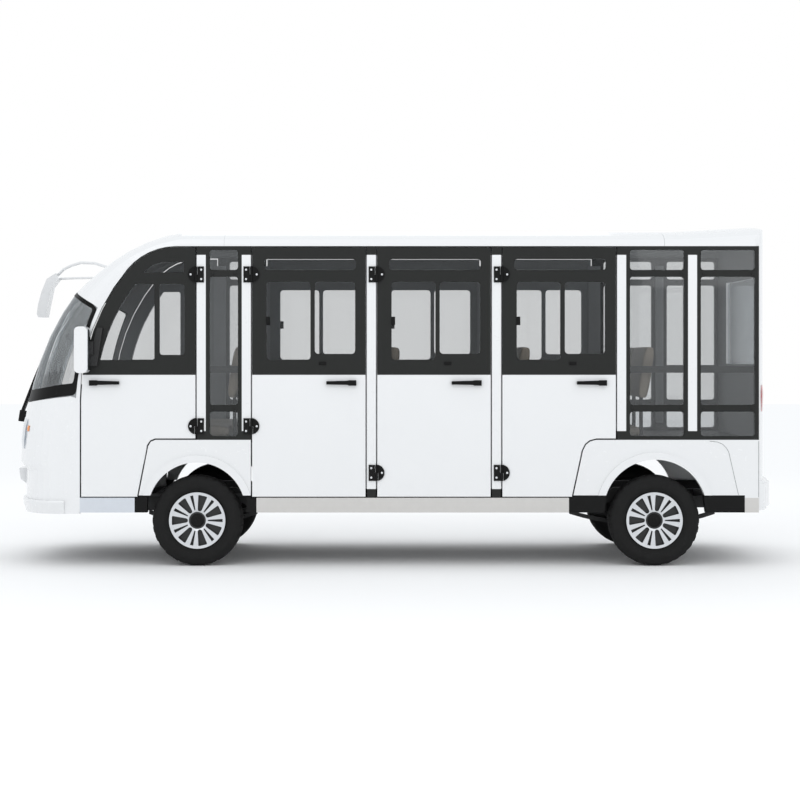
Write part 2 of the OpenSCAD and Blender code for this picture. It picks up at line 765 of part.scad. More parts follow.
module rear_window() {
    color([0.55, 0.6, 0.62, 0.4])
        cap_slab(rear_cap_v, rear_glass_u, rear_glass_s, same(rear_glass_u, 4), glass_t + 4);
}

module tail_lamps() {
    color([0.6, 0.06, 0.06])
        both()
            cap_slab(rear_cap_v, tail_lamp_u, tail_lamp_s, [-2, -8, -2], 4);
}

// Rear bumper layers, columns: bottom, top, bulge
bumper = [[380, 402, 46], [402, 560, 70], [560, 582, 46]];

module rear_bumper() {
    color([0.9, 0.905, 0.91])
        difference() {
            for (b = bumper)
                translate([0, 0, b[0]])
                    linear_extrude(b[1] - b[0])
                        polygon(concat(tail_curve(0, b[2]), [for (i = [19:-1:1]) tail_curve(0, 0)[i]]));
            block([0, -cut, 0], [tail_x0, cut, cut]);
        }
}

// Side structure

// Pillars, columns: X, bottom height, reach of the flange behind it to the front and rear
pillar_table = [[pillar_a, fender_z1, 30, 0], [pillar_b, fender_z1, 0, 30], [pillar_c, sill_z1, 30, 30],
    [pillar_d, sill_z1, 30, 30], [pillar_e, fender_z1, 30, 0], [pillar_f, fender_z1, 0, 0]];

module pillars() {
    color([0.92, 0.925, 0.93])
        both()
            for (p = pillar_table)
                union() {
                    block([p[0], -half_w, p[1] + pillar_cap_h], [p[0] + pillar_w, -half_w + pillar_t, roof_z0 - pillar_cap_h]);
                    block([p[0] - p[2], -half_w + pillar_t, p[1] + pillar_cap_h],
                        [p[0] + pillar_w + p[3], -half_w + pillar_t + jamb_t, roof_z0 - pillar_cap_h]);
                }
}
// Thickness of the flange behind each pillar that backs the door gaps
jamb_t = 8;

module pillar_caps() {
    color([0.2, 0.2, 0.2])
        both()
            for (p = pillar_table) {
                block([p[0], -half_w, p[1]], [p[0] + pillar_w, -half_w + pillar_t, p[1] + pillar_cap_h]);
                block([p[0], -half_w, roof_z0 - pillar_cap_h], [p[0] + pillar_w, -half_w + pillar_t, roof_z0]);
            }
}

// Fixed bays, columns: front X, width
bays = [[pillar_a + pillar_w, front_bay], [pillar_e + pillar_w, rear_bay], [pillar_f + pillar_w, rear_bay]];
frame_b = 26;
bar_h = 46;
// Height of the safety bar behind the fixed glass
rail_z = 1316;

module fixed_frames() {
    color([0.2, 0.205, 0.2])
        both()
            for (b = bays)
                difference() {
                    union() {
                        block([b[0], -half_w, fender_z1], [b[0] + b[1], -half_w + pillar_t, roof_z0]);
                        block([b[0], -half_w + pillar_t - 2, rail_z], [b[0] + b[1], -half_w + pillar_t + 14, rail_z + bar_h]);
                    }
                    slab(-cut, -half_w + pillar_t)
                        polygon(pane(b[0] + frame_b, fender_z1 + frame_b, b[0] + b[1] - frame_b, 1052, 20));
                    slab(-cut, -half_w + pillar_t)
                        polygon(pane(b[0] + frame_b, 1052 + bar_h, b[0] + b[1] - frame_b, 1970, 20));
                    slab(-cut, -half_w + pillar_t)
                        polygon(pane(b[0] + frame_b, 1970 + bar_h, b[0] + b[1] - frame_b, roof_z0 - frame_b, 20));
                }
}

module fixed_glass() {
    color([0.55, 0.6, 0.62, 0.4])
        both()
            for (b = bays)
                for (z = [[fender_z1 + frame_b, 1052], [1052 + bar_h, 1970], [1970 + bar_h, roof_z0 - frame_b]])
                    slab(-half_w + glass_in, -half_w + glass_in + glass_t)
                        polygon(pane(b[0] + frame_b, z[0], b[0] + b[1] - frame_b, z[1], 20));
}

front_arch_r = 333;
rear_arch_r = 352;
arch_up = 65;

module fenders() {
    color([0.93, 0.935, 0.94])
        both() {
            arch_panel(front_axle_x, front_arch_r)
                polygon(concat(front_edge(0), [[pillar_b + pillar_w, fender_z1], [pillar_b + pillar_w, fender_z0]]));
            arch_panel(rear_axle_x, rear_arch_r)
                polygon(concat(rear_edge(0), [[tail_x0, fender_z1], [tail_x0, sill_z1],
                    [rear_axle_x + 610, sill_z1], [rear_axle_x + 610, fender_z0]]));
        }
}

// Flat fender with a round arch and a raised lip round it
module arch_panel(x, r) {
    difference() {
        union() {
            slab(-half_w, -half_w + fender_t)
                children();
            intersection() {
                slab(-half_w - lip_h, -half_w + 5)
                    translate([x, axle_z + arch_up])
                        circle(r = r + lip_w);
                block([x - cut, -cut, fender_z0], [x + cut, 0, cut]);
            }
        }
        translate([x, -half_w - 100, axle_z + arch_up])
            rotate([-90, 0, 0])
                cylinder(h = 300, r = r);
    }
}

module sills() {
    color([0.8, 0.8, 0.79])
        both()
            for (x = [[fd_x0 - gap, front_axle_x - 423], [front_axle_x + 406, rear_axle_x - 586], [rear_axle_x + 610, tail_x0]])
                block([x[0], -half_w, sill_z0], [x[1], -half_w + sill_d, sill_z1]);
}

module arch_corners() {
    color([0.13, 0.13, 0.13])
        both() {
            corner([[front_axle_x - 423, sill_z0], [front_axle_x - 338, sill_z0], [front_axle_x - 338, fender_z0],
                [front_axle_x - 395, fender_z0], [front_axle_x - 395, sill_z1], [front_axle_x - 423, sill_z1]]);
            corner([[front_axle_x + 338, sill_z0], [front_axle_x + 406, sill_z0], [front_axle_x + 406, sill_z1],
                [pillar_b + pillar_w, sill_z1], [pillar_b + pillar_w, fender_z0], [front_axle_x + 338, fender_z0]]);
            corner([[rear_axle_x - 586, sill_z0], [rear_axle_x - 345, sill_z0], [rear_axle_x - 330, fender_z0],
                [rear_axle_x - 555, fender_z0], [rear_axle_x - 555, sill_z1], [rear_axle_x - 586, sill_z1]]);
            corner([[rear_axle_x + 345, sill_z0], [rear_axle_x + 610, sill_z0], [rear_axle_x + 610, fender_z0],
                [rear_axle_x + 330, fender_z0]]);
        }
}

module corner(points) {
    slab(-half_w, -half_w + sill_d)
        polygon(points);
}

// Doors

// Door hinges, columns: hinge edge X, direction into the door, lower hinge height
hinge_table = [[fd_x1 + gap / 2, -1, 953], [door_1 - gap / 2, 1, 953],
    [door_1 + pitch - gap / 2, 1, 636], [door_1 + 2 * pitch - gap / 2, 1, 636]];
hinge_top = 1985;
hinge_y = -half_w - barrel_r;

module hinge_plates() {
    color([0.12, 0.12, 0.12])
        both()
            for (h = hinge_table)
                for (z = [hinge_top, h[2]])
                    translate([h[0], hinge_y, z])
                        scale_x(-h[1])
                            union() {
                                leaf(-1);
                                translate([0, 0, -hinge_h / 2])
                                    cylinder(h = hinge_h - 2, r = hinge_pin_r);
                            }
}

module scale_x(d) {
    if (d > 0)
        children();
    else
        mirror([1, 0, 0])
            children();
}

// Half a hinge: plate on the body side with a barrel on its upper (1) or lower (-1) half
module leaf(half) {
    intersection() {
        block([barrel_r + 3, barrel_r - hinge_t, -hinge_h / 2], [hinge_w, barrel_r, hinge_h / 2]);
        if (half > 0)
            translate([hinge_w - hinge_h / 2 - 1, cut, 0])
                rotate([90, 0, 0])
                    cylinder(h = 2 * cut, r = hinge_h / 2 + 1);
        else
            block([-cut, -cut, -cut], [cut, cut, cut]);
    }
    block([0, barrel_r - hinge_t, half > 0 ? 0.5 : -hinge_h / 2], [barrel_r + 4, barrel_r - 0.5, half > 0 ? hinge_h / 2 : -0.5]);
    translate([0, 0, half > 0 ? 0.5 : -hinge_h / 2])
        cylinder(h = hinge_h / 2 - 0.5, r = barrel_r - 0.5);
}

// Door number d: 0 is the front door, 1 to 3 the side doors
function door_x(d) = door_1 + (d - 1) * pitch;
function door_outline(d) =
    d == 0 ? concat(door_arch(0), [[fd_x0, door_z0], [front_axle_x - 395 - gap, door_z0]], front_edge(gap),
            [[fd_x1, fender_z1 + gap], [fd_x1, door_z1]])
        : d == 3 ? concat([[door_x(3), door_z1], [door_x(3), door_z0], [rear_axle_x - 555 - gap, door_z0]], rear_edge(gap),
            [[door_x(3) + door_w, fender_z1 + gap], [door_x(3) + door_w, door_z1]])
        : [[door_x(d), door_z0], [door_x(d) + door_w, door_z0], [door_x(d) + door_w, door_z1], [door_x(d), door_z1]];

// Window outlines of a door: top light, front pane, rear pane
function door_panes(d) = d == 0 ? front_panes() : let (x = door_x(d)) [
    pane(x + 80, 2016, x + 706, 2091, 22), pane(x + 97, 1404, x + 396, 1935, 24), pane(x + 424, 1445, x + 700, 1935, 24)];
function front_panes() = let (r = arch_r2 - 95, a0 = acos((1404 - arch_zv) / r), a1 = acos((1921 - arch_zv) / r)) [
    [[fd_x1 - 356, 1998], [fd_x1 - 77, 1998], [fd_x1 - 77, 2070], [fd_x1 - 222, 2070], [fd_x1 - 300, 2045]],
    concat([for (i = [0:6]) let (f = a0 + (a1 - a0) * i / 6) [fd_x0 + arch_r2 - r * sin(f), arch_zv + r * cos(f)]],
        [[fd_x1 - 290, 1921], [fd_x1 - 278, 1909], [fd_x1 - 278, 1416], [fd_x1 - 290, 1404]]),
    pane(fd_x1 - 247, 1438, fd_x1 - 73, 1921, 20)];

module door(d, s) {
    h = hinge_table[d];
    grip_x = d == 0 ? fd_x0 + 57 : door_x(d) + 505;
    color([0.93, 0.935, 0.94])
        on_side(s)
            difference() {
                union() {
                    slab(-half_w, -half_w + door_t)
                        polygon(door_outline(d));
                    for (z = [hinge_top, h[2]])
                        translate([h[0], hinge_y, z])
                            scale_x(h[1])
                                leaf(1);
                    slab(-half_w - 28, -half_w - 16)
                        translate([grip_x, 1229])
                            polygon(d == 0 ? [[0, 0], [50, 0], [58, 5], [203, 8], [203, 30], [58, 34], [50, 37], [0, 37]]
                                : [[0, 8], [145, 5], [153, 0], [203, 0], [203, 37], [153, 37], [145, 34], [0, 30]]);
                    for (x = [grip_x, grip_x + 173])
                        block([x, -half_w - 20, 1239], [x + 30, -half_w, 1257]);
                }
                for (p = door_panes(d))
                    slab(-cut, cut)
                        polygon(p);
                for (z = [hinge_top, h[2]])
                    translate([h[0], hinge_y, z - 100])
                        cylinder(h = 200, r = hinge_pin_r + fit_c);
            }
}

module door_glass(d, s) {
    color([0.55, 0.6, 0.62, 0.4])
        on_side(s)
            for (p = door_panes(d))
                slab(-half_w + glass_in, -half_w + glass_in + glass_t)
                    polygon(p);
}

// Mirrors
mirror_stand = 152;
mirror_reach = half_w + mirror_stand;

module door_mirror() {
    color([0.9, 0.905, 0.91])
        union() {
            slab(-half_w - 26, -half_w)
                polygon([[fd_x0 + 44, 1363], [fd_x0 + 112, 1363], [fd_x0 + 150, 1622], [fd_x0 + 112, 1622]]);
            slab(-half_w - 50, -half_w - 20)
                polygon([[fd_x0 - 10, 1440], [fd_x0 + 90, 1440], [fd_x0 + 90, 1530], [fd_x0 - 10, 1530]]);
            slab(-mirror_reach, -half_w - 22)
                polygon(pane(fd_x0 - 22, 1316, fd_x0 + 67, 1629, 30));
        }
}

// Bent tube with ten sides through several points
function unit(v) = v / norm(v);
function run_dir(p, i) = unit(p[min(i + 1, len(p) - 1)] - p[max(i - 1, 0)]);
module path(points, r) {
    n = 10;
    k = len(points);
    rings = [for (i = [0:k - 1]) let (t = run_dir(points, i), a = unit(cross(t, [0, 0, 1])), b = cross(t, a))
        for (j = [0:n - 1]) points[i] + r * (cos(360 * j / n) * a + sin(360 * j / n) * b)];
    sides = [for (i = [0:k - 2]) for (j = [0:n - 1]) let (a = i * n + j, b = i * n + (j + 1) % n)
        each [[a, a + n, b + n], [a, b + n, b]]];
    polyhedron(rings, concat(sides, [[for (j = [0:n - 1]) j]], [[for (j = [n - 1:-1:0]) (k - 1) * n + j]]));
}

ear_x = -2600;
ear_y = mirror_reach - 72;

module ear_mirror() {
    color([0.88, 0.885, 0.89])
        difference() {
            union() {
                path([[-1850, half_w - 150, 2020], [-2231, half_w - 45, 2140], [-2341, half_w - 15, 2146],
                    [-2427, half_w + 25, 2124], [-2488, half_w + 55, 2098], [ear_x + 60, ear_y, 2050]], 11);
                path([[-1930, half_w - 120, 1950], [-2256, half_w - 25, 2029], [-2402, half_w + 30, 2029],
                    [ear_x + 64, ear_y, 2026]], 9);
                slab(ear_y - 72, mirror_reach)
                    polygon([[ear_x + 80, 2026], [ear_x + 62, 2068], [ear_x - 8, 2024], [ear_x - 50, 1922],
                        [ear_x - 76, 1823], [ear_x - 84, 1755], [ear_x - 74, 1728], [ear_x - 18, 1728],
                        [ear_x + 2, 1835], [ear_x + 28, 1959]]);
            }
            cap_slab(front_cap, nose_u, cap_s, same(nose_u, 0), 200);
        }
}

// What is drawn

chassis_frame();
front_axle();
rear_axle();
leaf_springs();
floor_pan();
seat_boxes();
battery_pack();
seat_cushions();
seat_backs();
seat_frames();
front_cowl();
windscreen();
nose_trim();
headlamps();
wiper();
dashboard();
roof();
rear_cap();
rear_window();
tail_lamps();
rear_bumper();
pillars();
pillar_caps();
fixed_frames();
fixed_glass();
fenders();
sills();
arch_corners();
hinge_plates();
ear_mirror();
door_mirror();
knuckle(-1);  // knuckle_left
knuckle(1);  // knuckle_right
tie_rod();
steering_wheel();
tyre(front_axle_x, -1);  // tyre_front_left
tyre(front_axle_x, 1);  // tyre_front_right
tyre(rear_axle_x, -1);  // tyre_rear_left
tyre(rear_axle_x, 1);  // tyre_rear_right
rim(front_axle_x, -1);  // rim_front_left
rim(front_axle_x, 1);  // rim_front_right
rim(rear_axle_x, -1);  // rim_rear_left
rim(rear_axle_x, 1);  // rim_rear_right
door(0, -1);  // left_front_door
door(1, -1);  // left_door_1
door(2, -1);  // left_door_2
door(3, -1);  // left_door_3
door(0, 1);  // right_front_door
door(1, 1);  // right_door_1
door(2, 1);  // right_door_2
door(3, 1);  // right_door_3
door_glass(0, -1);  // left_front_glass
door_glass(1, -1);  // left_glass_1
door_glass(2, -1);  // left_glass_2
door_glass(3, -1);  // left_glass_3
door_glass(0, 1);  // right_front_glass
door_glass(1, 1);  // right_glass_1
door_glass(2, 1);  // right_glass_2
door_glass(3, 1);  // right_glass_3
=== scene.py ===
"""Looks of the enclosed electric sightseeing cart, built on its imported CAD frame."""
import math
import bmesh
import bpy
from mathutils import Matrix, Vector


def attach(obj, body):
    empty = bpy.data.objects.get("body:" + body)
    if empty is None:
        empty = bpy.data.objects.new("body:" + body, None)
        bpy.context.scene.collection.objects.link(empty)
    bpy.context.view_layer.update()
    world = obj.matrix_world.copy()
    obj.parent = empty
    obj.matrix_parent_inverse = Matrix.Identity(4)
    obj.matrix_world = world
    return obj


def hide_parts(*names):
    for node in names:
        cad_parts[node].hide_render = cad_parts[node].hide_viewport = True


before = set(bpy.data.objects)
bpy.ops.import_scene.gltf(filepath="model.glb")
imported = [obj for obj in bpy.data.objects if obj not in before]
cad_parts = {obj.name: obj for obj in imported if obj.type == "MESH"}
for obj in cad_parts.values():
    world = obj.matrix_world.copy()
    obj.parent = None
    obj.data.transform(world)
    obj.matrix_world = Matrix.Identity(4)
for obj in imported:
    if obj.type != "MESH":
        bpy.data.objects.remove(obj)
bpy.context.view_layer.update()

# Sizes taken over from the CAD, in metres
HALF_W = 0.760
AXLE_Z = 0.309
TYRE_R = 0.309
TYRE_W = 0.175
WHEEL_Y = 0.660
FRONT_X = -1.288
REAR_X = 1.829
SPLIT_Z = 1.302
HINGE_UP = 1.985
# Doors, columns: name, front edge X, hinge X, direction into the door, lower hinge Z
DOORS = [("front_door", -2.074, -1.293, -1, 0.953), ("door_1", -0.911, -0.916, 1, 0.953),
         ("door_2", -0.060, -0.065, 1, 0.636), ("door_3", 0.791, 0.786, 1, 0.636)]
# Fixed bays, columns: front X, rear X
BAYS = [(-1.227, -0.982), (1.632, 2.053), (2.114, 2.535)]
SIDES = [("left", -1), ("right", 1)]


def srgb(code):
    """Linear colour from a hex code."""
    parts = [int(code[i:i + 2], 16) / 255 for i in (1, 3, 5)]
    return tuple(c / 12.92 if c <= 0.04045 else ((c + 0.055) / 1.055) ** 2.4 for c in parts) + (1.0,)


class Wire:
    """A shader socket that can be used in arithmetic."""

    def __init__(self, shader, out):
        self.shader = shader
        self.out = out

    def math(self, op, a, b=0.0):
        return self.shader.node("ShaderNodeMath", {"operation": op}, {0: a, 1: b})

    def __add__(self, other):
        return self.math("ADD", self, other)

    __radd__ = __add__

    def __sub__(self, other):
        return self.math("SUBTRACT", self, other)

    def __rsub__(self, other):
        return self.math("SUBTRACT", other, self)

    def __mul__(self, other):
        return self.math("MULTIPLY", self, other)

    __rmul__ = __mul__

    def __gt__(self, other):
        return self.math("GREATER_THAN", self, other)

    def __lt__(self, other):
        return self.math("LESS_THAN", self, other)

    def abs(self):
        return self.math("ABSOLUTE", self)

    def sign(self):
        return self.math("SIGN", self)

    def max(self, other):
        return self.math("MAXIMUM", self, other)


class Shader:
    """One material and the nodes in it."""

    def __init__(self, name):
        self.mat = bpy.data.materials.new(name)
        self.mat.use_nodes = True
        self.tree = self.mat.node_tree
        self.tree.nodes.clear()
        self.place = self.node("ShaderNodeTexCoord", out="Object")
        self.normal = self.node("ShaderNodeTexCoord", out="Normal")

    def node(self, kind, settings=None, inputs=None, out=0):
        new = self.tree.nodes.new(kind)
        for key, value in (settings or {}).items():
            setattr(new, key, value)
        for key, value in (inputs or {}).items():
            if isinstance(value, Wire):
                self.tree.links.new(value.out, new.inputs[key])
            else:
                new.inputs[key].default_value = value
        return Wire(self, new.outputs[out])

    def axis(self, wire, name):
        return self.node("ShaderNodeSeparateXYZ", None, {0: wire}, "XYZ".index(name))

    def noise(self, scale, detail=3.0, stretch=(1, 1, 1)):
        at = self.node("ShaderNodeVectorMath", {"operation": "MULTIPLY"}, {0: self.place, 1: stretch})
        return self.node("ShaderNodeTexNoise", None, {"Vector": at, "Scale": scale, "Detail": detail}, "Fac")

    def mix(self, factor, a, b):
        return self.node("ShaderNodeMix", {"data_type": "RGBA"}, {0: factor, 6: a, 7: b}, 2)

    def tone(self, color, amount, scale):
        """The colour with a faint cloudy change of brightness."""
        dark = tuple(c * (1 - amount) for c in color[:3]) + (1.0,)
        return self.mix(self.noise(scale), dark, color)

    def dot(self, a, b):
        return self.node("ShaderNodeVectorMath", {"operation": "DOT_PRODUCT"}, {0: a, 1: b}, "Value")

    def inward(self, center):
        """1 where a shell's surface faces the cabin's middle."""
        arm = self.node("ShaderNodeVectorMath", {"operation": "SUBTRACT"}, {0: self.place, 1: center})
        return self.dot(self.normal, arm) < 0.0

    def outward(self):
        """How squarely a surface faces away from the cart's middle plane, 1 at most."""
        return self.axis(self.normal, "Y") * self.axis(self.place, "Y").sign()

    def bump(self, height, strength, distance=0.001):
        inputs = {"Strength": strength, "Distance": distance, "Height": height}
        return self.node("ShaderNodeBump", None, inputs)

    def finish(self, base, rough, metal=0.0, coat=0.0, normal=None, spec=0.5):
        inputs = {"Base Color": base, "Roughness": rough, "Metallic": metal, "Coat Weight": coat,
                  "Specular IOR Level": spec, "Coat Roughness": 0.06}
        if normal is not None:
            inputs["Normal"] = normal
        self.output(self.node("ShaderNodeBsdfPrincipled", None, inputs))
        return self.mat

    def output(self, wire):
        end = self.tree.nodes.new("ShaderNodeOutputMaterial")
        self.tree.links.new(wire.out, end.inputs["Surface"])


WHITE = srgb("#e8e9ea")
SEAM = srgb("#b9bbbc")
FRAME_DARK = srgb("#292a29")
# Grey of the cabin liner, made lighter as painted light for the dim cabin
LIT_LINER = srgb("#9b9d9e")
CABIN = (0.3, 0.0, 1.25)
# Joints across the roof, and half the width of one
ROOF_SEAMS = (-1.103, 1.893)
SEAM_HALF = 0.0018
# Inner faces of doors and pillars begin here, and door fittings here
INNER_Y = HALF_W - 0.030
FITTING_Y = HALF_W + 0.0006
# Door mirror: rear face of the housing, outer ends of the arm behind it and of the foot
HOUSING_X = -2.0055
ARM_Y = HALF_W + 0.0510
FOOT_Y = HALF_W + 0.0265
# Rim: radius inside which it stays dark, and where its machined face begins
HUB_R = 0.058
RIM_FACE_Y = WHEEL_Y + 0.050
# Rear end of the front sill
FRONT_SILL_X = -1.6


def painted(name, color, lit_liner=None, seams=()):
    """Gloss body paint, joints across the roof, and a matt liner on faces toward the cabin, brightened as
    painted light.
    """
    s = Shader(name)
    base = s.tone(color, 0.02, 2.5)
    for x in seams:
        base = s.mix((s.axis(s.place, "X") - x).abs() < SEAM_HALF, base, SEAM)
    rough = 0.24 + 0.05 * s.noise(40.0)
    coat = 0.5
    if lit_liner:
        inner = s.inward(CABIN)
        # Faces toward the cabin take the liner grey, brightened as painted light
        base = s.mix(inner, base, s.tone(lit_liner, 0.12, 60.0))
        rough = rough + 0.4 * inner
        coat = 0.5 - 0.5 * inner
    return s.finish(base, rough, coat=coat, normal=s.bump(s.noise(320.0, 1.0), 0.02))


def door_paint():
    """White lower panel, dark upper frame, black hinge leaves and handle, grey inner face brightened as
    painted light.
    """
    s = Shader("door_paint")
    y = s.axis(s.place, "Y").abs()
    upper = s.axis(s.place, "Z") > SPLIT_Z
    fitting = y > FITTING_Y
    inner = y < INNER_Y
    # Inner face greys of the door, both brightened as painted light for the dim cabin
    lit_lining = s.mix(upper, s.tone(LIT_LINER, 0.1, 60.0), s.tone(srgb("#8b8e90"), 0.1, 40.0))
    base = s.mix(upper, s.tone(WHITE, 0.02, 2.5), s.tone(FRAME_DARK, 0.12, 30.0))
    base = s.mix(inner, base, lit_lining)
    base = s.mix(fitting, base, s.tone(srgb("#0d0d0d"), 0.3, 90.0))
    matt = upper.max(fitting).max(inner)
    rough = 0.24 + 0.22 * matt + 0.05 * s.noise(50.0)
    return s.finish(base, rough, coat=0.5 - 0.5 * matt, normal=s.bump(s.noise(400.0, 1.0), 0.03), spec=0.15)


def pillar_paint():
    """White outside, grey on the faces toward the cabin, that grey brightened as painted light."""
    s = Shader("pillar_paint")
    inner = (s.axis(s.place, "Y").abs() < INNER_Y) * (1.0 - (s.outward() > 0.7))
    # The inner grey is brightened as painted light for the dim cabin
    base = s.mix(inner, s.tone(WHITE, 0.025, 3.0), s.tone(srgb("#949799"), 0.12, 50.0))
    return s.finish(base, 0.26 + 0.3 * inner + 0.04 * s.noise(60.0), coat=0.4 - 0.4 * inner)


def mirror_paint():
    """White housing on a dark foot."""
    s = Shader("mirror_paint")
    y = s.axis(s.place, "Y").abs()
    arm = (s.axis(s.place, "X") > HOUSING_X) * (y < ARM_Y)
    foot = arm.max(y < FOOT_Y)
    base = s.mix(foot, s.tone(WHITE, 0.02, 4.0), s.tone(srgb("#1d1d1d"), 0.2, 80.0))
    return s.finish(base, 0.26 + 0.2 * foot + 0.04 * s.noise(60.0), coat=0.4 - 0.4 * foot)


def plastic(name, color, rough=0.45, grain=500.0, depth=0.05):
    """Moulded plastic with a fine grain."""
    s = Shader(name)
    cloud = s.noise(grain, 2.0)
    rough = rough + 0.12 * (cloud - 0.5)
    return s.finish(s.tone(color, 0.15, 25.0), rough, normal=s.bump(cloud, depth), spec=0.15)


def metal(name, color, rough=0.35, metallic=1.0):
    """Metal with faint wear in its shine."""
    s = Shader(name)
    wear = s.noise(140.0)
    rough = rough + 0.15 * (wear - 0.5)
    return s.finish(s.tone(color, 0.12, 60.0), rough, metallic, normal=s.bump(wear, 0.04))


def rubber(name, color):
    """Dull rubber with dust in its tone."""
    s = Shader(name)
    cloud = s.noise(260.0, 4.0)
    rough = 0.72 + 0.12 * cloud
    return s.finish(s.tone(color, 0.35, 30.0), rough, normal=s.bump(cloud, 0.12), spec=0.22)


def alloy():
    """Machined outer face, dark paint in the pockets."""
    s = Shader("rim_alloy")
    across = (s.axis(s.place, "X") - (FRONT_X + REAR_X) / 2).abs() - (REAR_X - FRONT_X) / 2
    up = s.axis(s.place, "Z") - AXLE_Z
    ring = across * across + up * up > HUB_R ** 2
    face = (s.outward() > 0.82) * (s.axis(s.place, "Y").abs() > RIM_FACE_Y) * ring
    fine = s.noise(900.0, 2.0)
    base = s.mix(face, s.tone(srgb("#232425"), 0.3, 70.0), s.tone(srgb("#d7d9dc"), 0.06, 90.0))
    return s.finish(base, 0.42 - 0.14 * face + 0.08 * fine, metal=0.75 * face, normal=s.bump(fine, 0.03))


def glazing(name, tint, shine, haze):
    """Tinted see-through glass with a veil of reflected light that changes faintly over it."""
    s = Shader(name)
    clear = s.node("ShaderNodeBsdfTransparent", None, {"Color": tint})
    gloss = s.node("ShaderNodeBsdfGlossy", None, {"Color": (0.9, 0.92, 0.93, 1), "Roughness": 0.03})
    edge = s.node("ShaderNodeLayerWeight", None, {"Blend": 0.12}, "Fresnel")
    veil = edge * (shine + 0.06 * s.noise(6.0)) + haze
    s.output(s.node("ShaderNodeMixShader", None, {0: veil, 1: clear, 2: gloss}))
    return s.mat


def cover():
    """Taupe seat cover with a leather grain."""
    s = Shader("seat_cover")
    cells = s.node("ShaderNodeTexVoronoi", {"feature": "DISTANCE_TO_EDGE"},
                   {"Vector": s.place, "Scale": 260.0}, "Distance")
    base = s.mix(s.noise(9.0), srgb("#7d7264"), srgb("#8f8474"))
    return s.finish(base, 0.52 + 0.1 * s.noise(70.0), normal=s.bump(cells, 0.18, 0.0006))


def sill_metal():
    """Silver front sill and warm grey middle and rear sills."""
    s = Shader("sill_metal")
    front = s.axis(s.place, "X") < FRONT_SILL_X
    line = s.noise(30.0, 3.0, (0.05, 1, 6))
    base = s.mix(front, s.tone(srgb("#cfcdca"), 0.08, 20.0), s.tone(srgb("#d3d8df"), 0.06, 20.0))
    return s.finish(base, 0.38 + 0.12 * line, metal=0.35, normal=s.bump(line, 0.03))


def lens(name, color):
    """Ribbed lamp lens."""
    s = Shader(name)
    ribs = s.node("ShaderNodeTexWave", None, {"Vector": s.place, "Scale": 45.0, "Distortion": 0.3}, "Fac")
    shade = tuple(c * 0.82 for c in color[:3]) + (1.0,)
    base = s.mix(ribs, shade, color)
    return s.finish(base, 0.12 + 0.05 * ribs, coat=1.0, normal=s.bump(ribs, 0.15, 0.002))


LOOKS = {
    "body": painted("body_paint", WHITE, LIT_LINER),
    "roof": painted("roof_paint", WHITE, LIT_LINER, ROOF_SEAMS),
    "trim": painted("trim_paint", srgb("#e6e7e8")),
    "door": door_paint(),
    "door_mirror": mirror_paint(),
    "pillar": pillar_paint(),
    "frame": plastic("frame_black", FRAME_DARK, 0.42),
    "black": plastic("trim_black", srgb("#121212"), 0.5),
    "grey": plastic("inner_grey", srgb("#4b4c4c"), 0.6),
    "dash": plastic("dash_grey", srgb("#3a3b3c"), 0.6),
    "floor": plastic("floor_cover", srgb("#4f5051"), 0.75, 180.0, 0.2),
    "chassis": metal("chassis_black", srgb("#1c1c1d"), 0.5, metallic=0.0),
    "cast": metal("axle_cast", srgb("#242526"), 0.6, metallic=0.3),
    "steel": metal("steel_bright", srgb("#b9bbbd"), 0.3),
    "bolt": metal("bolt_zinc", srgb("#dfe1e3"), 0.25),
    "tyre": rubber("tyre_rubber", srgb("#1d1d1d")),
    "alloy": alloy(),
    "glass": glazing("tinted_glass", (0.870, 0.874, 0.876, 1), 0.85, 0.016),
    "dark_glass": glazing("dark_glass", (0.845, 0.85, 0.852, 1), 0.85, 0.055),
    "seat": cover(),
    "sill": sill_metal(),
    "clear": lens("lamp_clear", srgb("#aeb6bf")),
    "red": lens("lamp_red", srgb("#b01414")),
    "amber": lens("lamp_amber", srgb("#f08a1c")),
    "battery": plastic("battery_case", srgb("#2c3036"), 0.5),
    "joint": plastic("joint_grey", srgb("#8d8f90"), 0.6),
    "mirror": metal("mirror_glass", srgb("#c9ced2"), 0.06),
}

CAD_LOOK = {
    "chassis_frame": "chassis", "front_axle": "cast", "rear_axle": "cast", "leaf_springs": "chassis",
    "floor_pan": "floor", "seat_boxes": "grey", "battery_pack": "battery", "seat_frames": "black",
    "front_cowl": "body", "windscreen": "glass", "nose_trim": "trim", "headlamps": "clear", "wiper": "black",
    "dashboard": "dash", "roof": "roof", "rear_cap": "body", "rear_window": "glass", "tail_lamps": "red",
    "rear_bumper": "trim", "pillars": "pillar", "pillar_caps": "frame", "fixed_frames": "frame",
    "fixed_glass": "dark_glass", "fenders": "trim", "sills": "sill", "arch_corners": "black",
    "hinge_plates": "black", "ear_mirror": "trim", "door_mirror": "door_mirror", "knuckle_left": "cast",
    "knuckle_right": "cast", "tie_rod": "steel", "steering_wheel": "black",
}
for end in ("front", "rear"):
    for side, _ in SIDES:
        CAD_LOOK[f"rim_{end}_{side}"] = "alloy"
for side, _ in SIDES:
    for door, *_ in DOORS:
        CAD_LOOK[f"{side}_{door}"] = "door"
        CAD_LOOK[f"{side}_{door.replace('door', 'glass')}"] = "glass"
for node_name, look in CAD_LOOK.items():
    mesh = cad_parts[node_name].data
    mesh.materials.clear()
    mesh.materials.append(LOOKS[look])


def piece(name, bm, look, body, replaced=(), angle=35):
    """Turns a finished bmesh into a named piece on a body."""
    bmesh.ops.remove_doubles(bm, verts=bm.verts, dist=1e-6)
    bmesh.ops.recalc_face_normals(bm, faces=bm.faces)
    mesh = bpy.data.meshes.new(name)
    bm.to_mesh(mesh)
    bm.free()
    mesh.shade_smooth()
    mesh.set_sharp_from_angle(angle=math.radians(angle))
    mesh.materials.append(LOOKS[look])
    obj = bpy.data.objects.new(name, mesh)
    bpy.context.collection.objects.link(obj)
    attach(obj, body)
    if replaced:
        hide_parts(*replaced)
    return obj


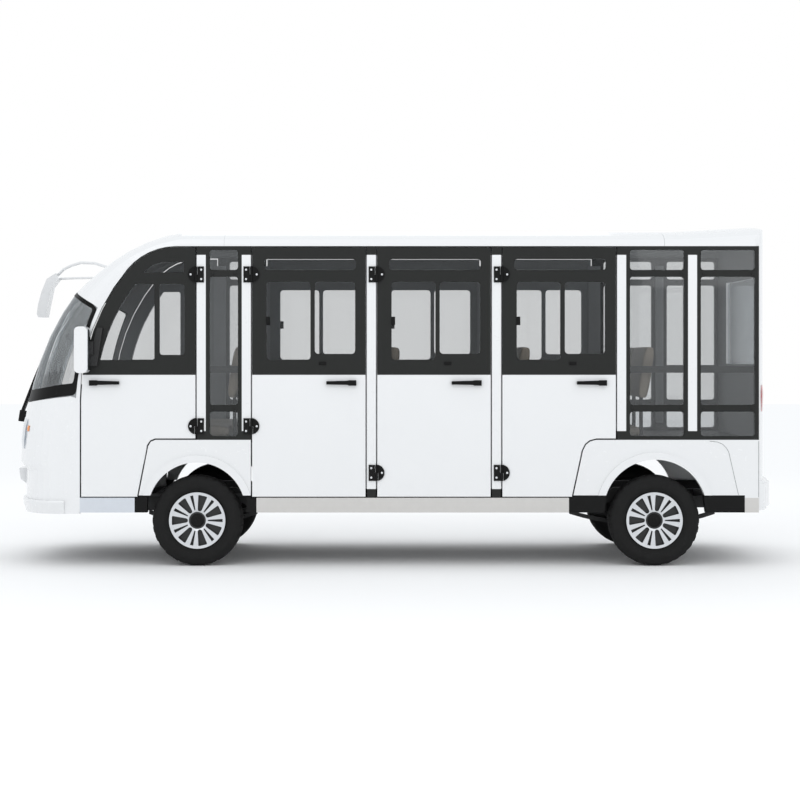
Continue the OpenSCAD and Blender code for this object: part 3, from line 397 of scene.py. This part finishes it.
def lathe(bm, profile, matrix, steps):
    """Spins a profile of (radius, height) about Z and places it by the matrix."""
    verts = [bm.verts.new(matrix @ Vector((r, 0, h))) for r, h in profile]
    edges = [bm.edges.new(pair) for pair in zip(verts, verts[1:])]
    axis = matrix.to_3x3() @ Vector((0, 0, 1))
    bmesh.ops.spin(bm, geom=verts + edges, cent=matrix.translation, axis=axis, angle=2 * math.pi, steps=steps,
                   use_merge=True, use_duplicate=False)


def bar(bm, lo, hi, round_by, segments):
    """Adds a block with rounded edges."""
    lo, hi = Vector(lo), Vector(hi)
    made = bmesh.ops.create_cube(bm, size=1.0)["verts"]
    for v in made:
        v.co = Vector((lo[i] + hi[i]) / 2 + v.co[i] * (hi[i] - lo[i]) for i in range(3))
    edges = list({e for v in made for e in v.link_edges})
    bmesh.ops.bevel(bm, geom=edges, offset=round_by, segments=segments, profile=0.5, affect="EDGES",
                    material=-1)


def join_rows(bm, rows):
    """Adds faces from each closed row of vertices to the next."""
    for a, b in zip(rows, rows[1:]):
        for i in range(len(a)):
            k = (i + 1) % len(a)
            bm.faces.new((a[i], a[k], b[k], b[i]))


def facing_side(x, y, z, s):
    """Frame at a point of the body side, its Z axis pointing outward on side s."""
    turn = Matrix.Rotation(math.radians(90 if s < 0 else -90), 4, "X")
    return Matrix.Translation((x, y, z)) @ turn


# Tyre section from the bead to the edge of the tread, columns: radius, place across the tyre
SIDEWALL = [(0.181, -0.064), (0.196, -0.064), (0.206, -0.072), (0.224, -0.0815), (0.2245, -0.083),
            (0.232, -0.0855), (0.249, -TYRE_W / 2), (0.262, -TYRE_W / 2), (0.2625, -0.0865), (0.270, -0.0855),
            (0.285, -0.080), (0.296, -0.074), (0.303, -0.067), (0.3065, -0.060)]
# Grooves around the tread: places across it, depth, half width at the top and at the foot
GROOVES = (-0.042, -0.014, 0.014, 0.042)
GROOVE_DEPTH = 0.008
GROOVE_TOP = 0.0045
GROOVE_FOOT = 0.0032
TREAD_CROWN = 0.6
TREAD_STEPS = 120
# Notches in the shoulder and cuts in the ribs: least radius, place across the tread, depth
NOTCH_R, NOTCH_Y, NOTCH_DEPTH = 0.290, 0.046, 0.007
CUT_R, CUT_Y, CUT_DEPTH = 0.300, 0.040, 0.004
HUB_CAP = [(0, 0.0710), (0.012, 0.0708), (0.014, 0.0690), (0.030, 0.0685), (0.040, 0.0665), (0.0455, 0.0630),
           (0.0475, 0.0590), (0.0475, 0.0500)]


def tyre_profile():
    """Tyre section from bead to bead, with four grooves in the tread."""
    out = list(SIDEWALL)
    for y in GROOVES:
        r = TYRE_R - TREAD_CROWN * y * y
        foot = r - GROOVE_DEPTH
        out += [(r, y - GROOVE_TOP), (foot, y - GROOVE_FOOT), (foot, y + GROOVE_FOOT), (r, y + GROOVE_TOP)]
    return out + [(r, -y) for r, y in reversed(SIDEWALL)]


def make_tyre(name, x, s, body):
    """Grooved tyre with notches and cuts that are staggered from side to side."""
    bm = bmesh.new()
    center = Vector((x, s * WHEEL_Y, AXLE_Z))
    lathe(bm, tyre_profile(), facing_side(*center, s), TREAD_STEPS)
    for v in bm.verts:
        arm = v.co - center
        flat = Vector((arm.x, 0, arm.z))
        radius = flat.length
        step = round(math.atan2(arm.z, arm.x) / (2 * math.pi) * TREAD_STEPS) % TREAD_STEPS
        shoulder = radius > NOTCH_R and abs(arm.y) > NOTCH_Y
        if shoulder and step % 4 == (0 if arm.y > 0 else 2):
            v.co -= flat.normalized() * NOTCH_DEPTH
        elif radius > CUT_R and abs(arm.y) < CUT_Y and step % 6 == (0 if arm.y > 0 else 3):
            v.co -= flat.normalized() * CUT_DEPTH
    piece(name, bm, "tyre", body, (name.replace("tread", "tyre"),), 28)


for end, axle_x in (("front", FRONT_X), ("rear", REAR_X)):
    for side, s in SIDES:
        wheel = f"wheel_{end}_{side}"
        make_tyre(f"tread_{end}_{side}", axle_x, s, wheel)
        bm = bmesh.new()
        lathe(bm, HUB_CAP, facing_side(axle_x, s * WHEEL_Y, AXLE_Z, s), 48)
        piece(f"hub_cap_{end}_{side}", bm, "black", wheel)

# Seats: place of each row, middle of a seat, cushion and backrest as depth or height, width and thickness
SEAT_X = (-0.960, 0.106, 1.006, 1.860)
SEAT_Y = 0.335
SEAT_W = 0.620
CUSHION = (0.400, SEAT_W, 0.100)
CUSHION_AHEAD = 0.320
CUSHION_Z = 0.910
BACKREST = (0.350, SEAT_W, 0.090)
BACK_Z = 1.138
# Lean of the backrest, and the height above its foot at which it passes the place of its row
LEAN = math.radians(9)
LEAN_H = 0.354
PLEATS = (-0.17, 0.0, 0.17)
PLEAT_W = 0.006
PLEAT_DEPTH = 0.005


def soft_block(bm, matrix, size, crown):
    """Closed stuffed block: crowned faces that meet at a seam, with stitched pleats across its top."""
    hx, hy, hz = (v / 2 for v in size)
    for sign in (1, -1):
        for v in bmesh.ops.create_grid(bm, x_segments=22, y_segments=34, size=1.0)["verts"]:
            a = math.sin(v.co.x * math.pi / 2)
            b = math.sin(v.co.y * math.pi / 2)
            lift = 0.0
            if max(abs(a), abs(b)) < 1:
                lift = ((1 - abs(a) ** 5) ** 0.2) * ((1 - abs(b) ** 7) ** 0.14)
            h = hz * lift * (1 - crown * (a * a + b * b) / 2)
            if sign > 0:
                h -= sum(PLEAT_DEPTH * lift * math.exp(-((b * hy - p) / PLEAT_W) ** 2) for p in PLEATS)
            v.co = matrix @ Vector((a * hx, b * hy, sign * h))


cushions = bmesh.new()
backs = bmesh.new()
for x in SEAT_X:
    for y in (-SEAT_Y, SEAT_Y):
        soft_block(cushions, Matrix.Translation((x - CUSHION_AHEAD, y, CUSHION_Z)), CUSHION, 0.16)
        foot = Matrix.Translation((x - LEAN_H * math.tan(LEAN), y, BACK_Z)) @ Matrix.Rotation(LEAN, 4, "Y")
        middle = Matrix.Translation((-BACKREST[2] / 2, 0, BACKREST[0] / 2))
        soft_block(backs, foot @ middle @ Matrix.Rotation(math.radians(-90), 4, "Y"), BACKREST, 0.14)
piece("seat_cushions_soft", cushions, "seat", "cart", ("seat_cushions",), 50)
piece("seat_backs_soft", backs, "seat", "cart", ("seat_backs",), 50)

# Hinge bolts: two on each fixed leaf, one on each moving leaf
BOLT = [(0, 0.0032), (0.0022, 0.0032), (0.0026, 0.0052), (0.0060, 0.0046), (0.0078, 0.0030), (0.0085, 0.0)]
BOLT_X = 0.036
BOLT_Z = 0.032
LEAF_Y = HALF_W + 0.008
# Latch and catch of a door's window, each two corners as X behind the door's front edge and Z
LATCHES = [((0.454, 1.370), (0.502, 1.391)), ((0.095, 1.640), (0.121, 1.698))]
LATCH_Y = (HALF_W - 0.002, HALF_W + 0.010)
fixed_bolts = bmesh.new()
for side, s in SIDES:
    for door, edge, hinge_x, into, low_z in DOORS:
        moving = bmesh.new()
        for z in (HINGE_UP, low_z):
            for dz in (-BOLT_Z, BOLT_Z):
                at = facing_side(hinge_x - into * BOLT_X, s * LEAF_Y, z + dz, s)
                lathe(fixed_bolts, BOLT, at, 16)
            lathe(moving, BOLT, facing_side(hinge_x + into * BOLT_X, s * LEAF_Y, z, s), 16)
        piece(f"{side}_{door}_bolts", moving, "bolt", f"{side}_{door}")
        if door != "front_door":
            latch = bmesh.new()
            y0, y1 = sorted(s * y for y in LATCH_Y)
            for (x0, z0), (x1, z1) in LATCHES:
                bar(latch, (edge + x0, y0, z0), (edge + x1, y1, z1), 0.004, 3)
            piece(f"{side}_{door}_latch", latch, "black", f"{side}_{door}")
piece("hinge_bolts", fixed_bolts, "bolt", "cart")

# Round caps at the ends of the fixed frames' crossbars
CAP = [(0, 0.0060), (0.0060, 0.0058), (0.0100, 0.0046), (0.0122, 0.0026), (0.0130, 0.0)]
CAP_INSET = 0.045
CROSSBAR_Z = (1.075, 1.993)
caps = bmesh.new()
for side, s in SIDES:
    for x0, x1 in BAYS:
        for z in CROSSBAR_Z:
            for x in (x0 + CAP_INSET, x1 - CAP_INSET):
                lathe(caps, CAP, facing_side(x, s * HALF_W, z, s), 20)
piece("frame_bolt_caps", caps, "frame", "cart")

# Joint lines behind the rear wheel, each a list of (x, z) on the body side
JOINTS = [[(2.200, 0.851), (2.255, 0.845), (2.289, 0.830), (2.312, 0.806), (2.329, 0.779), (2.397, 0.480)],
          [(2.533, 0.851), (2.533, 0.470)]]
JOINT_HALF = 0.0016
# Section of a joint line, columns: side of its middle, distance outside the body side
JOINT_SECTION = [(-1, -0.0004), (-1, 0.0008), (1, 0.0008), (1, -0.0004)]
lines = bmesh.new()
for side, s in SIDES:
    for route in JOINTS:
        rows = []
        for i, (x, z) in enumerate(route):
            ahead = Vector(route[min(i + 1, len(route) - 1)]) - Vector(route[max(i - 1, 0)])
            nx, nz = Vector((-ahead.y, ahead.x)).normalized() * JOINT_HALF
            rows.append([lines.verts.new((x + k * nx, s * (HALF_W + out), z + k * nz))
                         for k, out in JOINT_SECTION])
        join_rows(lines, rows)
        lines.faces.new(rows[0])
        lines.faces.new(rows[-1])
piece("body_joint_lines", lines, "joint", "cart")

# Glass in the rear face of the door mirror, from its low to its high corner
PANE_LOW = (-2.0075, -0.902, 1.334)
PANE_HIGH = (-2.0045, -0.793, 1.611)
pane = bmesh.new()
bar(pane, PANE_LOW, PANE_HIGH, 0.0012, 2)
piece("door_mirror_glass", pane, "mirror", "left_front_door")

# Front cap: start of its profile at the roof, and two arcs that meet at a split given in degrees
CAP_X = -1.400
CROWN_Z = 2.305
UPPER_R = 0.980
LOWER_R = 2.200
SPLIT_U = 56
# How far the cap's section falls away to the side: at the roof, at the split, and a span of degrees below it
FALL_ROOF = 0.112
FALL_SPLIT = 0.240
FALL_LOW = 0.400
FALL_SPAN = 22
SECTION_POWER = 2.6
# Run along the body side past the section's end, for each unit of s
SIDE_RUN = 0.260
# Depth of the cap pressed in over the door arches, where it is deepest and where it ends, in degrees
PRESS_DEPTH = 0.050
PRESS_U = 38
PRESS_END = 66
# Dark border of the windscreen: outlines as top u, bottom u and half width in s
BORDER_OUTER = (54.05, 77.95, 1.147)
BORDER_INNER = (55.9, 75.6, 1.045)
BORDER_IN = 0.0024
BORDER_T = 0.0012
BORDER_POWER = 14
BORDER_STEPS = 400
BORDER_ROWS = 6
# How many degrees the outline rises at the sides at two places of the profile, columns: u, rise
RISE_TOP = (57, 2)
RISE_LOW = (78, 4.3)
# Turn signals: range along and across the front cap, distance outside it, swell and thickness
SIGNAL_U = (81.5, 82.6)
SIGNAL_S = (0.76, 0.81)
SIGNAL_OUT = 0.001
SIGNAL_SWELL = 0.004
SIGNAL_T = 0.002
CORNER = 0.16


def drop(s):
    """How far the front cap's section has fallen away at s, from 0 in the middle to 1 at its side."""
    return 1 - (1 - min(abs(s), 1) ** SECTION_POWER) ** (1 / SECTION_POWER)


def press(u):
    """How far the front cap is pressed in at u, from its deepest place down."""
    if u > PRESS_END:
        return 0.0
    return PRESS_DEPTH * (1 + math.cos(math.pi * (u - PRESS_U) / (PRESS_END - PRESS_U))) / 2


def nose_point(u, s, inward):
    """Point of the front cap: u degrees along its profile, s across it, at a distance inward from it."""
    f = math.radians(u)
    k = math.radians(SPLIT_U)
    if u < SPLIT_U:
        depth = FALL_ROOF + (FALL_SPLIT - FALL_ROOF) * u / SPLIT_U
        run = UPPER_R * math.sin(f)
        fall = UPPER_R * (math.cos(f) - 1)
    else:
        depth = FALL_SPLIT + (FALL_LOW - FALL_SPLIT) * min((u - SPLIT_U) / FALL_SPAN, 1)
        run = UPPER_R * math.sin(k) + LOWER_R * (math.sin(f) - math.sin(k))
        fall = UPPER_R * (math.cos(k) - 1) + LOWER_R * (math.cos(f) - math.cos(k))
    deep = inward + (depth - inward) * drop(s) + press(u) * (1 - drop(s)) + max(abs(s) - 1, 0) * SIDE_RUN
    x = CAP_X - run + deep * math.sin(f)
    z = CROWN_Z + fall - deep * math.cos(f)
    return Vector((x, (HALF_W - inward) * max(-1, min(1, s)), z))


def side_rise(u):
    """How many degrees the windscreen's outline rises at the sides."""
    share = (u - RISE_TOP[0]) / (RISE_LOW[0] - RISE_TOP[0])
    return RISE_TOP[1] + (RISE_LOW[1] - RISE_TOP[1]) * share


def border_row(bm, top, bottom, half):
    """Row of vertices along a rounded outline on the front cap."""
    row = []
    for i in range(BORDER_STEPS):
        angle = 2 * math.pi * i / BORDER_STEPS
        c, d = math.cos(angle), math.sin(angle)
        grow = (abs(c) ** BORDER_POWER + abs(d) ** BORDER_POWER) ** (-1 / BORDER_POWER)
        u = (top + bottom) / 2 + (bottom - top) / 2 * max(-1, min(1, d * grow))
        s = half * max(-1, min(1, c * grow))
        row.append(bm.verts.new(nose_point(u - side_rise(u) * drop(s), s, BORDER_IN)))
    return row


border = bmesh.new()
rows = []
for k in range(BORDER_ROWS + 1):
    outline = [a + (b - a) * k / BORDER_ROWS for a, b in zip(BORDER_OUTER, BORDER_INNER)]
    rows.append(border_row(border, *outline))
join_rows(border, rows)
bmesh.ops.solidify(border, geom=list(border.faces), thickness=BORDER_T)
piece("windscreen_border", border, "black", "cart")


def signal(bm, s0, s1):
    """Swelled pad on the front cap with rounded corners."""
    u0, u1 = SIGNAL_U
    grid = bmesh.ops.create_grid(bm, x_segments=14, y_segments=14, size=1.0)["verts"]
    faces = list({f for v in grid for f in v.link_faces})
    for v in grid:
        a = v.co.x * math.sqrt(1 - v.co.y ** 2 * CORNER)
        b = v.co.y * math.sqrt(1 - v.co.x ** 2 * CORNER)
        out = SIGNAL_OUT + SIGNAL_SWELL * (1 - a ** 4) * (1 - b ** 4)
        v.co = nose_point((u0 + u1) / 2 + (u1 - u0) / 2 * a, (s0 + s1) / 2 + (s1 - s0) / 2 * b, -out)
    bmesh.ops.solidify(bm, geom=faces, thickness=SIGNAL_T)


signals = bmesh.new()
for sign in (1, -1):
    signal(signals, *sorted(sign * s for s in SIGNAL_S))
piece("turn_signals", signals, "amber", "cart")

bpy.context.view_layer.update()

# Floor, light and camera
floor = bmesh.new()
bmesh.ops.create_grid(floor, x_segments=1, y_segments=1, size=40.0)
floor_mesh = bpy.data.meshes.new("floor")
floor.to_mesh(floor_mesh)
floor.free()
ground = Shader("floor_white")
floor_mesh.materials.append(ground.finish(ground.tone((0.99, 0.99, 0.99, 1), 0.005, 0.5), 0.9, spec=0.0))
floor_obj = bpy.data.objects.new("floor", floor_mesh)
floor_obj.location.z = -0.0005
bpy.context.collection.objects.link(floor_obj)

world = bpy.data.worlds.new("studio")
bpy.context.scene.world = world
world.use_nodes = True
sky = world.node_tree
sky.nodes.clear()
path = sky.nodes.new("ShaderNodeLightPath")
shown = sky.nodes.new("ShaderNodeBackground")
shown.inputs["Color"].default_value = (1, 1, 1, 1)
soft = sky.nodes.new("ShaderNodeBackground")
soft.inputs["Color"].default_value = (0.96, 0.98, 1.0, 1)
soft.inputs["Strength"].default_value = 1.0
pick = sky.nodes.new("ShaderNodeMixShader")
end_node = sky.nodes.new("ShaderNodeOutputWorld")
sky.links.new(path.outputs["Is Camera Ray"], pick.inputs[0])
sky.links.new(soft.outputs[0], pick.inputs[1])
sky.links.new(shown.outputs[0], pick.inputs[2])
sky.links.new(pick.outputs[0], end_node.inputs["Surface"])

# Area lights, columns: place, target, size, power
LAMPS = [((-3.0, -7.5, 5.5), (0, 0, 1.2), 5.0, 70), ((4.5, -6.5, 4.5), (0.5, 0, 1.2), 5.0, 40),
         ((0, 6.5, 5.0), (0, 0, 1.2), 5.0, 30)]
for i, (at, to, size, power) in enumerate(LAMPS):
    light = bpy.data.lights.new(f"lamp_{i}", "AREA")
    light.size = size
    light.energy = power
    obj = bpy.data.objects.new(f"lamp_{i}", light)
    obj.location = at
    obj.rotation_euler = (Vector(to) - Vector(at)).to_track_quat("-Z", "Y").to_euler()
    bpy.context.collection.objects.link(obj)

cam = bpy.data.cameras.new("camera")
cam.lens = 78.75
cam.sensor_width = 36
cam.shift_x = 0.0125
cam.shift_y = -0.054
camera = bpy.data.objects.new("camera", cam)
camera.location = (0.026, -12.66, 1.425)
camera.rotation_euler = (math.pi / 2, 0, 0)
bpy.context.collection.objects.link(camera)
bpy.context.scene.camera = camera
bpy.context.scene.view_settings.view_transform = "Standard"
